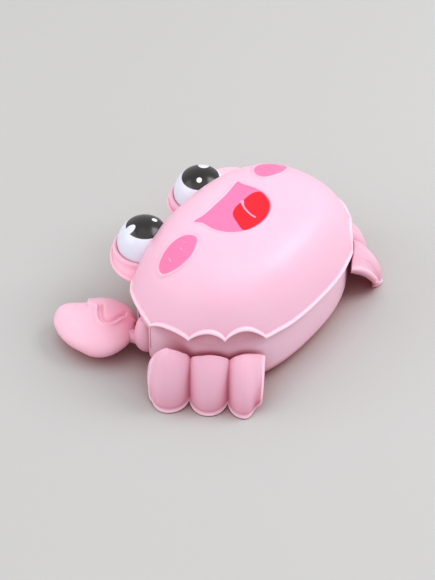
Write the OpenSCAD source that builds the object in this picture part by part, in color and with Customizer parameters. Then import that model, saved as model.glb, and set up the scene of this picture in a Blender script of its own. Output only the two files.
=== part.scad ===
// Wind-up crab: shells, clockwork, crank-driven leg plates and swinging claws.
// Front faces -Y, +X is the crab's own left, +Z is up, floor at z = 0.

/* [Body] */
// half width of the shell at the rim
body_w = 88; // [87:0.5:89]
// half length of the shell at the rim
body_l = 62; // [61.5:0.5:62.5]
// height of the rim above the floor
rim_z = 46.6; // [46.4:0.1:46.8]
// height of the dome above the rim
dome_h = 46.7; // [45:0.5:48]
// wall thickness of the dome
wall = 2.2; // [1.8:0.1:2.6]
// depth of the side arches
arch_depth = 1; // [0.8:0.05:1.05]

/* [Eyes] */
// radius of the eyeballs
eye_r = 19.2; // [18:0.1:19.4]
// sideways position of the eyeballs
eye_x = 32.3; // [31.5:0.1:33]

/* [Legs] */
// thickness of a leg plate
leg_t = 3; // [2.6:0.1:3.4]
// how far the lobes stand out from the valleys
lobe_d = 10; // [8:0.5:11]
// throw of the cranks
throw = 3; // [2.5:0.1:3.2]

/* [Claws] */
// half length of a claw
claw_l = 30; // [28:0.5:30.5]
// half width of a claw
claw_w = 25; // [23:0.5:25]
// half thickness of a claw
claw_t = 12.5; // [12:0.5:14]

/* [Clockwork] */
// turns of the mainspring
spring_turns = 6; // [4:1:7]
// tooth module of the gears
gear_m = 0.8; // [0.8:0.01:0.8]
// pressure angle of the gears
gear_pa = 25; // [24:0.5:26]

/* [Resolution] */
// steps around the shells
n_around = 96; // [72:24:120]

/* [Output] */
// which node to build

/* [Hidden] */
SE = 2.35;                 // exponent of the plan outline
oy0 = 1.36;                // the outline is centred a little behind the origin
shaft_y = 34; axle_y = 12; drive_z = 22;
comp_y = shaft_y - 21 * gear_m; great_y = comp_y - 24 * gear_m;
sh_x = 74.5; sh_y = -25;   // shoulder axis
leg_a = 30.4;              // plan angle of the leg plates
leg_o = 85;                // rim plane of a leg plate
tub_a = body_w - 3; tub_b = body_l - 2.9; tub_r = 12; tub_z = 2.5; tub_w = 2.4;
eye_c = [eye_x, -59.3, 56.9];

function sgn(v) = v < 0 ? -1 : 1;
function spow(v, p) = sgn(v) * pow(abs(v), p);
function sep(th) = [spow(cos(th), 2 / SE), spow(sin(th), 2 / SE)];
function lerp(a, b, u) = a + (b - a) * u;
function clamp01(u) = min(1, max(0, u));

// height of the lower edge of the dome; th is folded onto the +X side
function arch(th, a, b, za, zb, h) =
  let (u = (th - a) / (b - a)) lerp(za, zb, u) + arch_depth * h * pow(max(0, sin(180 * u)), 0.7);
function fold(th) = let (t = th - 360 * round(th / 360)) t > 90 ? 180 - t : t < -90 ? -180 - t : t;
function edge_z(th) = let (t = fold(th))
  t > 58.2 ? rim_z + 1.1 * clamp01((72 - t) / 13.8) :
  t > 34.3 ? arch(t, 34.3, 58.2, 53.3, 47.7, 8.4) :
  t > 12.4 ? arch(t, 12.4, 34.3, 51.5, 53.3, 6.6) :
  t > -9.6 ? arch(t, -9.6, 12.4, rim_z, 51.5, 4.4) :
  t > -41.7 ? arch(t, -41.7, -9.6, rim_z, rim_z, 3.6) : rim_z;

// dome section: scale of the outline and drift of its centre with height
function dome_g(t) = pow(max(0, 1 - pow(t, 1.3)), 1 / 4.488);
function dome_pt(th, z, a, b, h, off) =
  let (t = clamp01((z - rim_z) / h), g = dome_g(t), e = sep(th))
  [(a * g + off) * e[0], oy0 + 3.3 * t * t + (b * g + off) * e[1], z];
function rise(k, n) = 1 - pow(1 - k / n, 3.4);

// closed loft: rings of n points, closed by a pole at each end
function pole_faces(n, m) = concat(
  [for (j = [0 : m - 2]) for (i = [0 : n - 1]) let (k = (i + 1) % n)
    [j * n + i, j * n + k, (j + 1) * n + k]],
  [for (j = [0 : m - 2]) for (i = [0 : n - 1]) let (k = (i + 1) % n)
    [j * n + i, (j + 1) * n + k, (j + 1) * n + i]],
  [for (i = [0 : n - 1]) [n * m, (i + 1) % n, i]],
  [for (i = [0 : n - 1]) [n * m + 1, (m - 1) * n + i, (m - 1) * n + (i + 1) % n]]);
module pole_loft(rings, p0, p1) {
  n = len(rings[0]); m = len(rings);
  polyhedron(points = concat([for (r = rings) for (p = r) p], [p0, p1]),
    faces = [for (t = pole_faces(n, m)) [t[2], t[1], t[0]]], convexity = 8);
}

function ring(k) = [for (i = [0 : n_around - 1]) -k * 360 * i / n_around];

module dome_shell() {
  K = 8;
  A = body_w; B = body_l; Ai = A - wall; Bi = B - wall; Hi = dome_h - wall;
  angs = ring(1);
  outer = [for (k = [K - 1 : -1 : 1]) [for (th = angs)
    let (zl = edge_z(th) + 3.2) dome_pt(th, lerp(zl, rim_z + dome_h, rise(k, K)), A, B, dome_h, 0)]];
  bead = [for (q = [[0.1, 3.2], [1.6, 2.6], [2.1, 1.4], [1.3, 0.2], [-0.6, -0.1], [-wall, 0]])
    [for (th = angs) let (zl = edge_z(th), p = dome_pt(th, zl + q[1], A, B, dome_h, q[0])) p]];
  inner = [for (k = [1 : K - 1]) [for (th = angs)
    let (zl = edge_z(th)) dome_pt(th, lerp(zl, rim_z + Hi, rise(k, K)), Ai, Bi, Hi, 0)]];
  pole_loft(concat(outer, bead, inner), [0, oy0 + 3.3, rim_z + dome_h], [0, oy0 + 3.3, rim_z + Hi]);
}
// plan of one eye cup
module cup_plan(r) {
  translate([eye_c[0], eye_c[1]]) circle(r = r, $fn = 72);
}
module oval(a, b) { polygon([for (i = [0 : 95]) let (e = sep(i * 3.75)) [a * e[0], b * e[1]]]); }
module upper_shell() {
  color("pink")
  difference() {
    union() {
      dome_shell();
      difference() {
        for (s = [1, -1]) mirror([s < 0 ? 1 : 0, 0, 0]) {
          translate([0, 0, 44.6]) linear_extrude(10.2) cup_plan(23.2);
          translate([0, 0, 44.6]) linear_extrude(2.6) cup_plan(24.6);
          translate([0, 0, 44.6]) linear_extrude(5.4)
            polygon([[32, -50], [53.5, -71.2], [58.5, -64.5], [61.6, -56], [62.4, -45.5], [50, -44]]);
        }
        // room for the rim of the tub and its lip
        translate([0, oy0, 40]) linear_extrude(6.25) oval(tub_a + 0.35, tub_b + 0.35);
        translate([0, oy0, 46]) linear_extrude(1.3) oval(body_w - wall - 2.3, body_l - wall - 2.3);
      }
      both() for (y = [26, -16]) translate([42, y, 44]) cylinder(r = 4.5, h = 44.2, $fn = 32);
    }
    for (s = [1, -1]) mirror([s < 0 ? 1 : 0, 0, 0]) {
      intersection() {
        translate(eye_c) sphere(r = eye_r + 0.15, $fn = 96);
        translate([0, -90, 48]) cube([60, 70, 40]);
      }
      translate([eye_c[0], eye_c[1], 40]) cylinder(r = 3.03, h = 12, $fn = 48);
      for (y = [26, -16]) translate([42, y, 40]) cylinder(r = 1.52, h = 20, $fn = 32);
    }
  }
}

// tub section by height: inset of the wall
function tub_in(z, r) = z >= tub_z + r ? 0 : r - sqrt(max(0, r * r - pow(r - (z - tub_z), 2)));
function tub_pt(th, z, a, b) = let (e = sep(th)) [a * e[0], oy0 + b * e[1], z];
// the lip is low under the eye cups
function lip_z(th) = fold(th) < -42 ? 46.9 : max(48.4, edge_z(th) + 2.4);
function sq(k, n) = 1 - cos(90 * k / n);
module tub_shell() {
  n = n_around * 0.75;
  angs = [for (i = [0 : n - 1]) -360 * i / n];
  L = tub_r;
  lip_a = body_w - wall - 2.7; lip_b = body_l - wall - 2.7; slope = 0.2;
  outer = concat(
    [for (z = [tub_z]) [for (th = angs) tub_pt(th, z, tub_a - L, tub_b - L)]],
    [for (k = [1 : 7]) let (q = 90 * k / 7, z = tub_z + L * (1 - cos(q)), i = L * (1 - sin(q)))
      [for (th = angs) tub_pt(th, z, tub_a - i, tub_b - i)]],
    [[for (th = angs) tub_pt(th, 45.9, tub_a, tub_b)],
     [for (th = angs) tub_pt(th, 46.3, lip_a, lip_b)],
     [for (th = angs) let (z = lip_z(th), i = slope * (z - 46.3)) tub_pt(th, z, lip_a - i, lip_b - i)]]);
  inner = concat(
    [[for (th = angs) let (z = lip_z(th), i = slope * (z - 46.3)) tub_pt(th, z, lip_a - i - 2, lip_b - i - 2)],
     [for (th = angs) tub_pt(th, 46.3, lip_a - 2, lip_b - 2)],
     [for (th = angs) tub_pt(th, 43.4, tub_a - tub_w, tub_b - tub_w)]],
    [for (k = [6 : -1 : 0]) let (q = 90 * k / 6, z = tub_z + tub_w + (L - tub_w) * (1 - cos(q)), i = tub_w + (L - tub_w) * (1 - sin(q)))
      [for (th = angs) tub_pt(th, z, tub_a - i, tub_b - i)]]);
  rings = concat(outer, inner);
  m = len(rings);
  pts = concat([for (r = rings) for (p = r) p], [[0, oy0, tub_z], [0, oy0, tub_z + tub_w]]);
  f = pole_faces(n, m);
  polyhedron(points = pts, faces = f, convexity = 8);
}
module xcyl(y, z, x0, x1, r, fn = 64) {
  translate([x0, y, z]) rotate([0, 90, 0]) cylinder(r = r, h = x1 - x0, $fn = fn);
}
// everything on the inner side of a wall that stands at p, runs along heading h and leans out by t
module half_space(p, h, t) {
  translate(p) rotate([0, 0, h]) rotate([t, 0, 0]) HS();
}
module HS() { translate([-60, -60, -80]) cube([120, 60, 160]); }
module both() { children(); mirror([1, 0, 0]) children(); }
module lower_shell() {
  color("lightpink")
  difference() {
    union() {
      tub_shell();
      both() {
        intersection() {
          xcyl(shaft_y, drive_z, 63.8, 84, 11.6, 40);
          half_space([81.2, 22.4, 0], -50.5, 0);
        }
        intersection() {
          xcyl(axle_y, drive_z, 72.8, 88, 11.6, 40);
          half_space([84.4, 0, 0], -83, 0);
        }
        intersection() {
          translate([sh_x, sh_y, 7]) cylinder(r = 12.2, h = 38.4, $fn = 40);
          half_space([84, -16.5, 0] - 0.5 * [0.827, -0.561, 0], 235.8, 0);
          half_space([sh_x, sh_y, 7] - 6.1 * [0.827, -0.561, 0], 235.8, -32);
        }
      }
      both() {
        xcyl(shaft_y, drive_z, 60, 66, 7.6);
        xcyl(axle_y, drive_z, 67, 75, 6.2);
        for (y = [26, -16]) translate([42, y, 3.5]) cylinder(r = 4.5, h = 40.2, $fn = 48);
      }
      // belly pad and ribs that locate the gear case
      translate([0, 0, 0]) cylinder(r = 16, h = 3.6, $fn = 96);
      for (y = [-22.6, 42.1]) translate([-9, y, 4]) cube([18, 1.4, 4.6]);
      for (x = [-16.6, 15.2]) translate([x, 2, 4]) cube([1.4, 20, 4.6]);
    }
    both() {
      xcyl(shaft_y, drive_z, 66, 95, 9.5);
      xcyl(shaft_y, drive_z, 55, 70, 5);
      xcyl(axle_y, drive_z, 75, 95, 9.5);
      xcyl(axle_y, drive_z, 60, 80, 2.56);
      translate([sh_x, sh_y, 8.6]) cylinder(r = 10, h = 29.3, $fn = 64);
      translate([sh_x, sh_y, 30]) cylinder(r = 3.06, h = 20, $fn = 48);
      // room for the neck of the arm
      translate([sh_x, sh_y, 16]) rotate([0, 0, neck_ang() - 1]) rotate([0, 90, 0]) cylinder(r = 5.8, h = 24, $fn = 48);
      // notch in the lip for the clip
      translate([sh_x, sh_y, 45.93]) cylinder(r = 4.6, h = 6, $fn = 40);
      for (y = [26, -16]) translate([42, y, 0]) {
        cylinder(r = 1.7, h = 50, $fn = 32);
        cylinder(r = 3.6, h = 7.4, $fn = 48);
      }
    }
  }
}

module eye() {
  color("white")
  difference() {
    union() {
      intersection() {
        translate(eye_c) sphere(r = eye_r, $fn = 96);
        translate([0, -90, 48.05]) cube([80, 70, 40]);
      }
      translate([eye_c[0], eye_c[1], 45]) cylinder(r = 3, h = 8, $fn = 48);
    }
    difference() {
      intersection() {
        translate(eye_c) sphere(r = eye_r - 2, $fn = 64);
        translate([0, -90, 47]) cube([80, 70, 40]);
      }
      translate([eye_c[0], eye_c[1], 40]) cylinder(r = 4.5, h = 50, $fn = 48);
    }
  }
}
module eye_left() { eye(); }
module eye_right() { mirror([1, 0, 0]) eye(); }

// involute spur gear outline
function inva(r, rb) = r <= rb ? 0 : let (a = acos(rb / r)) tan(a) * 180 / PI - a;
function gear_pts(N, m, pa) = let (
    rp = m * N / 2, rb = rp * cos(pa), ra = rp + 0.85 * m, rf = rp - 1.1 * m,
    hp = 90 / N - 0.075 / rp * 180 / PI + inva(rp, rb), rs = max(rb, rf),
    R = [for (k = [0 : 4]) lerp(rs, ra, k / 4)])
  [for (i = [0 : N - 1]) let (c = 360 * i / N) each concat(
    [let (h = hp + 0.4) [rf * cos(c - h), rf * sin(c - h)]],
    [for (r = R) let (h = hp - inva(r, rb)) [r * cos(c - h), r * sin(c - h)]],
    [for (k = [4 : -1 : 0]) let (r = R[k], h = hp - inva(r, rb)) [r * cos(c + h), r * sin(c + h)]],
    [let (h = hp + 0.4) [rf * cos(c + h), rf * sin(c + h)]])];
module gear(N, y, x0, w, turn) {
  translate([x0, y, drive_z]) rotate([90, 0, 90]) rotate([0, 0, turn])
    linear_extrude(w) polygon(gear_pts(N, gear_m, gear_pa));
}

// step under the case where the floor of the tub curves up
module case_heel() { translate([-20, 36.8, 4]) cube([40, 8, 2.1]); }
module gear_case() {
  color("steelblue")
  difference() {
    union() {
      difference() {
        translate([-15, -21, 5.1]) cube([28, 63, 35.4]);
        translate([-13, -19, 6.6]) cube([30, 59, 32.3]);
      }
      for (y = [-16.5, 38], z = [9.2, 36.3]) xcyl(y, z, -14, 13, 2.9, 40);
      // post that holds the outer end of the spring
      xcyl(great_y + 15.4, 36, -14, -2.6, 1.6, 32);
    }
    case_heel();
    xcyl(shaft_y, drive_z, -20, -10, 2.56);
    xcyl(comp_y, drive_z, -20, -10, 1.55);
    xcyl(great_y, drive_z, -20, -10, 2.55);
    for (y = [-16.5, 38], z = [9.2, 36.3]) xcyl(y, z, 2, 20, 1.02, 24);
  }
}
module gear_cover() {
  color("steelblue")
  difference() {
    translate([13.02, -21, 5.1]) cube([2, 63, 35.4]);
    case_heel();
    xcyl(shaft_y, drive_z, 10, 20, 2.56);
    xcyl(comp_y, drive_z, 10, 20, 1.55);
    xcyl(great_y, drive_z, 10, 20, 2.55);
    for (y = [-16.5, 38], z = [9.2, 36.3]) xcyl(y, z, 10, 20, 1.1, 24);
  }
}
module case_screws() {
  color("silver")
  for (y = [-16.5, 38], z = [9.2, 36.3]) {
    xcyl(y, z, 3, 15.4, 1, 24);
    difference() {
      xcyl(y, z, 15.05, 16.9, 2.1, 32);
      translate([16.2, y - 3, z - 0.3]) cube([2, 6, 0.6]);
    }
  }
}
module shell_screws() {
  color("silver")
  both() for (y = [26, -16]) translate([42, y, 0]) {
    translate([0, 0, 7]) cylinder(r = 1.5, h = 50, $fn = 32);
    difference() {
      translate([0, 0, 5]) cylinder(r = 3.2, h = 2.38, $fn = 48);
      translate([-0.4, -4, 4]) cube([0.8, 8, 1.9]);
      translate([-4, -0.4, 4]) cube([8, 0.8, 1.9]);
    }
  }
}
// flat spiral spring, coiled loosely round the arbor
function spring_pt(a, r0, r1, off) = let (r = lerp(r0, r1, a / (360 * spring_turns)) + off) [r * cos(a - 10), r * sin(a - 10)];
module mainspring() {
  color("gray")
  translate([-11.5, great_y, drive_z]) rotate([90, 0, 90]) linear_extrude(8)
    let (S = spring_turns * 20, D = 360 / 20)
      polygon(concat([for (i = [0 : S]) spring_pt(i * D, 4.4, 13.8, 0.35)],
                     [for (i = [S : -1 : 0]) spring_pt(i * D, 4.4, 13.8, -0.35)]));
}
module seal_left() {
  color("dimgray")
  difference() {
    union() { xcyl(shaft_y, drive_z, 59.5, 65.8, 4.96); xcyl(shaft_y, drive_z, 57.9, 59.9, 6.4); }
    xcyl(shaft_y, drive_z, 50, 70, 2.55);
  }
}
module seal_right() { mirror([1, 0, 0]) seal_left(); }

module cross_shaft() {
  color("silver")
  xcyl(shaft_y, drive_z, -68.3, 68.3, 2.5);
}
module output_pinion() {
  color("ivory")
  difference() {
    union() {
      gear(12, shaft_y, 4.6, 4.4, 15);
      xcyl(shaft_y, drive_z, -12.6, 4.6, 3.6);
      xcyl(shaft_y, drive_z, 9, 12.6, 3.6);
    }
    xcyl(shaft_y, drive_z, -20, 20, 2.5);
  }
}
module crank_left() {
  color("ivory")
  difference() {
    union() {
      xcyl(shaft_y, drive_z, 66.4, 68.4, 6.5);
      xcyl(shaft_y - throw, drive_z, 68, 86.8, 2.2);
    }
    xcyl(shaft_y, drive_z, 60, 68.31, 2.5);
  }
}
module crank_right() { mirror([1, 0, 0]) crank_left(); }
module compound_gear() {
  color("ivory")
  difference() {
    union() {
      gear(30, comp_y, 5, 3.6, 0);
      gear(12, comp_y, -1.6, 6.7, 0);
      xcyl(comp_y, drive_z, -12.6, -1.6, 2.8);
      xcyl(comp_y, drive_z, 8.6, 12.6, 2.8);
    }
    xcyl(comp_y, drive_z, -20, 20, 1.5);
  }
}
module compound_axle() {
  color("silver")
  xcyl(comp_y, drive_z, -15, 15, 1.5);
}
module great_gear() {
  color("ivory")
  difference() {
    union() {
      gear(36, great_y, -1, 4, 5);
      xcyl(great_y, drive_z, 3, 12.6, 4);
    }
    xcyl(great_y, drive_z, -20, 20, 2.5);
    for (i = [0 : 4]) translate([-3, great_y, drive_z]) rotate([i * 72, 0, 0])
      translate([0, 8.6, 0]) rotate([0, 90, 0]) cylinder(r = 2.6, h = 8, $fn = 40);
  }
}
module spring_arbor() {
  color("silver")
  union() {
    xcyl(great_y, drive_z, -15, 15, 2.5);
    difference() {
      xcyl(great_y, drive_z, -12.4, -2, 3.6);
      translate([-13, great_y + 2.7, drive_z - 0.5]) cube([11.5, 2, 1]);
    }
  }
}
module idler_left() {
  color("ivory")
  union() {
    xcyl(axle_y, drive_z, 75.4, 77.4, 6.5);
    xcyl(axle_y, drive_z, 64.6, 75.5, 2.5);
    xcyl(axle_y - throw, drive_z, 77, 95.8, 2.2);
  }
}
module idler_clip_left() {
  color("silver")
  difference() {
    xcyl(axle_y, drive_z, 65.2, 66.6, 4.6);
    xcyl(axle_y, drive_z, 60, 70, 2.5);
  }
}
module idler_right() { mirror([1, 0, 0]) idler_left(); }
module idler_clip_right() { mirror([1, 0, 0]) idler_clip_left(); }

// leg plate: a heightfield over (s along the plate, v from floor to top)
LB = [-56, -26.7, -0.7, 23];
s_mid = (LB[0] + LB[3]) / 2; s_half = (LB[3] - LB[0]) / 2;
function lobe_i(s) = s < LB[1] ? 0 : s < LB[2] ? 1 : 2;
function bump(s) = let (i = lobe_i(s), c = (LB[i] + LB[i + 1]) / 2, h = (LB[i + 1] - LB[i]) / 2)
  s > 11.15 ? 1 - 0.75 * pow((s - 11.15) / 11.85, 2) : pow(max(0, 1 - pow(abs(s - c) / h, 2)), 0.65);
function z_top(s) = s > 11.15 ? lerp(38.6, 34, pow((s - 11.15) / 11.85, 1.5)) :
  let (b = bump(s), i = lobe_i(s), lo = s < -41 ? 26 : 34.4, hi = [45.2, 41.6, 38.6][i]) lerp(lo, hi, pow(b, 0.7));
// inner edge of the vault: it follows the tub round towards the tail
function inner_o(s) = s < -4 ? leg_o : leg_o - 12.5 * pow((s + 4) / 27, 1.25);
function end_f(s) = s > s_mid ? 1 : pow(max(0, 1 - pow(abs(s - s_mid) / s_half, 10)), 0.5);
function belly(w) = pow(max(0, 1 - pow(w, 1.9)), 0.62);
// depth of the outer face above the rim plane
function depth(s, v) = (leg_o - inner_o(s)) * belly(v) +
  end_f(s) * (7.5 * belly(v) + (-0.8 + (lobe_d + 2) * bump(s)) * belly(v * 0.985) * (1 - 0.12 * pow(1 - v, 6)));
// the front end of the plate rakes back above and below its middle
function rake(s, z) = s + (s < -41 ? (-41 - s) / 15 * (0.0062 * pow(z - 14, 2) + 0) : s > 11 ? -(s - 11) / 12 * 0.0035 * pow(z - 20, 2) : 0);
function leg_pt(s, v, o) = let (z = z_top(s) * v) [o, rake(s, z), z];
module leg_body(inset, solid) {
  NS = 48; NV = 13;
  S = [for (i = [0 : NS]) let (u = i / NS) s_mid - s_half * cos(180 * u) * (1 - 0.0) ];
  function vv(j) = 1 - pow(1 - j / NV, 1.6) * 1;
  O = [for (j = [0 : NV]) for (s = S) let (v = vv(j)) leg_pt(s, v, inner_o(s) + max(0, depth(s, v) - inset))];
  function si(s) = s > s_mid ? s : s_mid + (s - s_mid) * (1 - leg_t / s_half);
  I = solid ? [for (j = [0 : NV]) for (s = S) leg_pt(s, vv(j), inner_o(s) - 0.2)] :
    [for (j = [0 : NV]) for (s = S) let (v = vv(j), d = depth(s, v), q = si(s), z = (z_top(s) - leg_t * clamp01(v * 2)) * v,
      dd = d < 2 * leg_t ? d / 2 : d - leg_t)
      [inner_o(s) + dd * (1 - 0.999 * (s <= S[0] ? 1 : 0)) * (j == NV ? 0 : 1), rake(q, z), z]];
  W = NS + 1; H = NV + 1; M = W * H;
  quads = concat(
    [for (j = [0 : NV - 1]) for (i = [0 : NS - 1]) [j * W + i, j * W + i + 1, (j + 1) * W + i + 1, (j + 1) * W + i]],
    [for (j = [0 : NV - 1]) for (i = [0 : NS - 1]) [M + j * W + i, M + (j + 1) * W + i, M + (j + 1) * W + i + 1, M + j * W + i + 1]],
    [for (i = [0 : NS - 1]) [M + i, M + i + 1, i + 1, i]],
    [for (i = [0 : NS - 1]) [NV * W + i, NV * W + i + 1, M + NV * W + i + 1, M + NV * W + i]],
    [for (j = [0 : NV - 1]) [j * W, (j + 1) * W, M + (j + 1) * W, M + j * W]],
    [for (j = [0 : NV - 1]) [j * W + NS, M + j * W + NS, M + (j + 1) * W + NS, (j + 1) * W + NS]]);
  tris = [for (q = quads) each [[q[0], q[2], q[1]], [q[0], q[3], q[2]]]];
  rotate([0, 0, leg_a]) polyhedron(points = concat(O, I), faces = tris, convexity = 8);
}
module leg_left() {
  color("hotpink")
  difference() {
    union() {
      leg_body(0, false);
      intersection() {
        union() {
          xcyl(shaft_y - throw, drive_z, 60, 110, 5, 48);
          xcyl(axle_y - throw, drive_z, 60, 120, 5, 48);
        }
        union() {
          leg_body(1.3, true);
          xcyl(shaft_y - throw, drive_z, 69, 79, 5.5, 48);
          xcyl(axle_y - throw, drive_z, 78, 92, 5.5, 48);
        }
      }
    }
    xcyl(shaft_y - throw, drive_z, 60, 87.4, 2.26, 48);
    xcyl(axle_y - throw, drive_z, 60, 96.4, 2.26, 48);
  }
}
module leg_right() { mirror([1, 0, 0]) leg_left(); }

// claw: one closed body, an ellipsoid with the thumb swelling out of its inner side
function gauss(d, w) = exp(-d * d / (w * w));
function claw_r(u, v) = 1 + 0.06 * gauss(adiff(u, 196), 34) * gauss(v - 16, 40) - 0.12 * gauss(adiff(u, -94), 40) * gauss(v - 18, 30);
function adiff(a, b) = let (d = (a - b) % 360) d > 180 ? d - 360 : d < -180 ? d + 360 : d;
module claw_body(w, l, t, nu, nv) {
  rings = [for (j = [1 : nv - 1]) let (v = 90 - 180 * j / nv) [for (i = [0 : nu - 1]) let (u = 360 * i / nu, k = claw_r(u, v))
    [k * w * cos(v) * cos(u), k * l * cos(v) * sin(u), k * t * sin(v)]]];
  m = len(rings);
  polyhedron(points = concat([for (r = rings) for (p = r) p], [[0, 0, t], [0, 0, -t]]),
    faces = pole_faces(nu, m), convexity = 4);
}
claw_c = [84.3, -62.5, 14.6]; claw_h = 4;
function neck_ang() = atan2(claw_c[1] - sh_y, claw_c[0] - sh_x);
module neck_axis() { translate([sh_x, sh_y, 16]) rotate([0, 0, neck_ang()]) rotate([0, 90, 0]) children(); }
module arm_left() {
  color("pink")
  union() {
    translate([sh_x, sh_y, 0]) rotate_extrude($fn = 72)
      polygon([for (q = [[0, 10.2], [3.4, 10.2], [5.8, 10.9], [7.7, 12.4], [9, 15], [9.6, 18.5], [9.6, 23],
        [9.1, 27.5], [8, 32], [6.6, 35.2], [5.2, 37.2], [3, 37.4], [3, 47.2], [0, 47.2]]) q]);
    neck_axis() cylinder(r = 5, h = 24, $fn = 48);
  }
}
module arm_clip_left() {
  color("silver")
  translate([sh_x, sh_y, 0]) difference() {
    translate([0, 0, 46]) cylinder(r = 4.1, h = 1.1, $fn = 48);
    translate([0, 0, 40]) cylinder(r = 3, h = 10, $fn = 48);
  }
}
module claw_left() {
  color("hotpink")
  difference() {
    translate(claw_c) rotate([0, 0, claw_h]) claw_body(claw_w, claw_l, claw_t, 36, 18);
    neck_axis() cylinder(r = 5.02, h = 24.4, $fn = 48);
    // room for the barrel of the arm
    translate([sh_x, sh_y, 0]) cylinder(r = 10, h = 40, $fn = 64);
  }
}
module arm_right() { mirror([1, 0, 0]) arm_left(); }
module arm_clip_right() { mirror([1, 0, 0]) arm_clip_left(); }
module claw_right() { mirror([1, 0, 0]) claw_left(); }

upper_shell();
lower_shell();
eye_left();
eye_right();
gear_case();
gear_cover();
mainspring();
case_screws();
shell_screws();
seal_left();
seal_right();
cross_shaft();
output_pinion();
crank_left();
crank_right();
compound_gear();
compound_axle();
great_gear();
spring_arbor();
idler_left();
idler_clip_left();
idler_right();
idler_clip_right();
leg_left();
leg_right();
arm_left();
arm_clip_left();
claw_left();
arm_right();
arm_clip_right();
claw_right();
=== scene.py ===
import math
import bpy
import bmesh
import numpy as np
from mathutils import Matrix, Vector


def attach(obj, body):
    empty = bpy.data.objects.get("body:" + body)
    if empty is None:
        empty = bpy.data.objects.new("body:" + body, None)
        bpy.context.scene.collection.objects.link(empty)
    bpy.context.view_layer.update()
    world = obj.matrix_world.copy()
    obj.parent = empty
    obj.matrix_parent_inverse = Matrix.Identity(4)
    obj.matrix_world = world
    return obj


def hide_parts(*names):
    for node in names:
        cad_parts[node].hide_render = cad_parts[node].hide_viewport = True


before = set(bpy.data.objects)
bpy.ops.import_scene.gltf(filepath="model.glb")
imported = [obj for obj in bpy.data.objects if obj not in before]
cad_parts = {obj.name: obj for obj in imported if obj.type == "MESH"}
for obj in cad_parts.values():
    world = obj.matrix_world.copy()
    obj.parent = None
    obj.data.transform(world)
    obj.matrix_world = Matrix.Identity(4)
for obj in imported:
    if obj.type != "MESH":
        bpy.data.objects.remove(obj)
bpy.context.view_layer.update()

MM = 0.001
SE = 2.35
RIM, DOME_H, A, B, OY = 46.6, 46.7, 88.0, 62.0, 1.36
WALL = 2.2


# ---------------------------------------------------------------- shapes
def spow(v, p):
    return np.sign(v) * np.abs(v) ** p


def sep(th):
    return spow(np.cos(th), 2 / SE), spow(np.sin(th), 2 / SE)


def arch(t, a, b, za, zb, h):
    u = (t - a) / (b - a)
    return za + (zb - za) * u + h * np.maximum(0, np.sin(np.pi * np.clip(u, 0, 1))) ** 0.7


def edge_z(th):
    t = np.degrees(th)
    t = t - 360 * np.round(t / 360)
    t = np.where(t > 90, 180 - t, np.where(t < -90, -180 - t, t))
    z = np.full_like(t, RIM)
    z = np.where(t > 58.2, RIM + 1.1 * np.clip((72 - t) / 13.8, 0, 1), z)
    z = np.where((t > 34.3) & (t <= 58.2), arch(t, 34.3, 58.2, 53.3, 47.7, 8.4), z)
    z = np.where((t > 12.4) & (t <= 34.3), arch(t, 12.4, 34.3, 51.5, 53.3, 6.6), z)
    z = np.where((t > -9.6) & (t <= 12.4), arch(t, -9.6, 12.4, RIM, 51.5, 4.4), z)
    z = np.where((t > -41.7) & (t <= -9.6), arch(t, -41.7, -9.6, RIM, RIM, 3.6), z)
    return z


def scal(th):
    """One over the scalloped sides, nothing at the front and back."""
    t = np.degrees(th)
    t = t - 360 * np.round(t / 360)
    t = np.where(t > 90, 180 - t, np.where(t < -90, -180 - t, t))
    return np.clip((t + 6) / 14, 0, 1) * np.clip((66 - t) / 10, 0, 1)


def dome_pt(th, z, a, b, h, off=0.0):
    t = np.clip((z - RIM) / h, 0, 1)
    g = np.maximum(0, 1 - t ** 1.3) ** (1 / 4.488)
    ex, ey = sep(th)
    return np.stack([(a * g + off) * ex, OY + 3.3 * t * t + (b * g + off) * ey, z + 0 * th], -1)


def rise(u):
    return 1 - (1 - u) ** 3.4


def normals(P, closed=True):
    if closed:
        du = np.roll(P, -1, 1) - np.roll(P, 1, 1)
    else:
        du = np.gradient(P, axis=1)
    dv = np.gradient(P, axis=0)
    n = np.cross(du, dv)
    return n / np.maximum(1e-9, np.linalg.norm(n, axis=-1, keepdims=True))


def sdf(poly, x, y):
    """Signed distance to a closed outline, negative inside."""
    poly = np.asarray(poly, float)
    q = np.stack([x.ravel(), y.ravel()], -1)
    d = np.full(len(q), 1e9)
    inside = np.zeros(len(q), bool)
    for i in range(len(poly)):
        a, b = poly[i], poly[(i + 1) % len(poly)]
        e, w = b - a, q - a
        t = np.clip((w @ e) / max(1e-12, e @ e), 0, 1)
        d = np.minimum(d, np.linalg.norm(w - t[:, None] * e, axis=1))
        c = (a[1] > q[:, 1]) != (b[1] > q[:, 1])
        with np.errstate(divide="ignore", invalid="ignore"):
            xi = (b[0] - a[0]) * (q[:, 1] - a[1]) / (b[1] - a[1]) + a[0]
        inside ^= c & (q[:, 0] < xi)
    return np.where(inside, -d, d).reshape(x.shape)


def line_d(pts, x, y):
    q = np.stack([x.ravel(), y.ravel()], -1)
    d = np.full(len(q), 1e9)
    for a, b in zip(pts[:-1], pts[1:]):
        a, b = np.array(a, float), np.array(b, float)
        e, w = b - a, q - a
        t = np.clip((w @ e) / (e @ e), 0, 1)
        d = np.minimum(d, np.linalg.norm(w - t[:, None] * e, axis=1))
    return d.reshape(x.shape)


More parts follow.
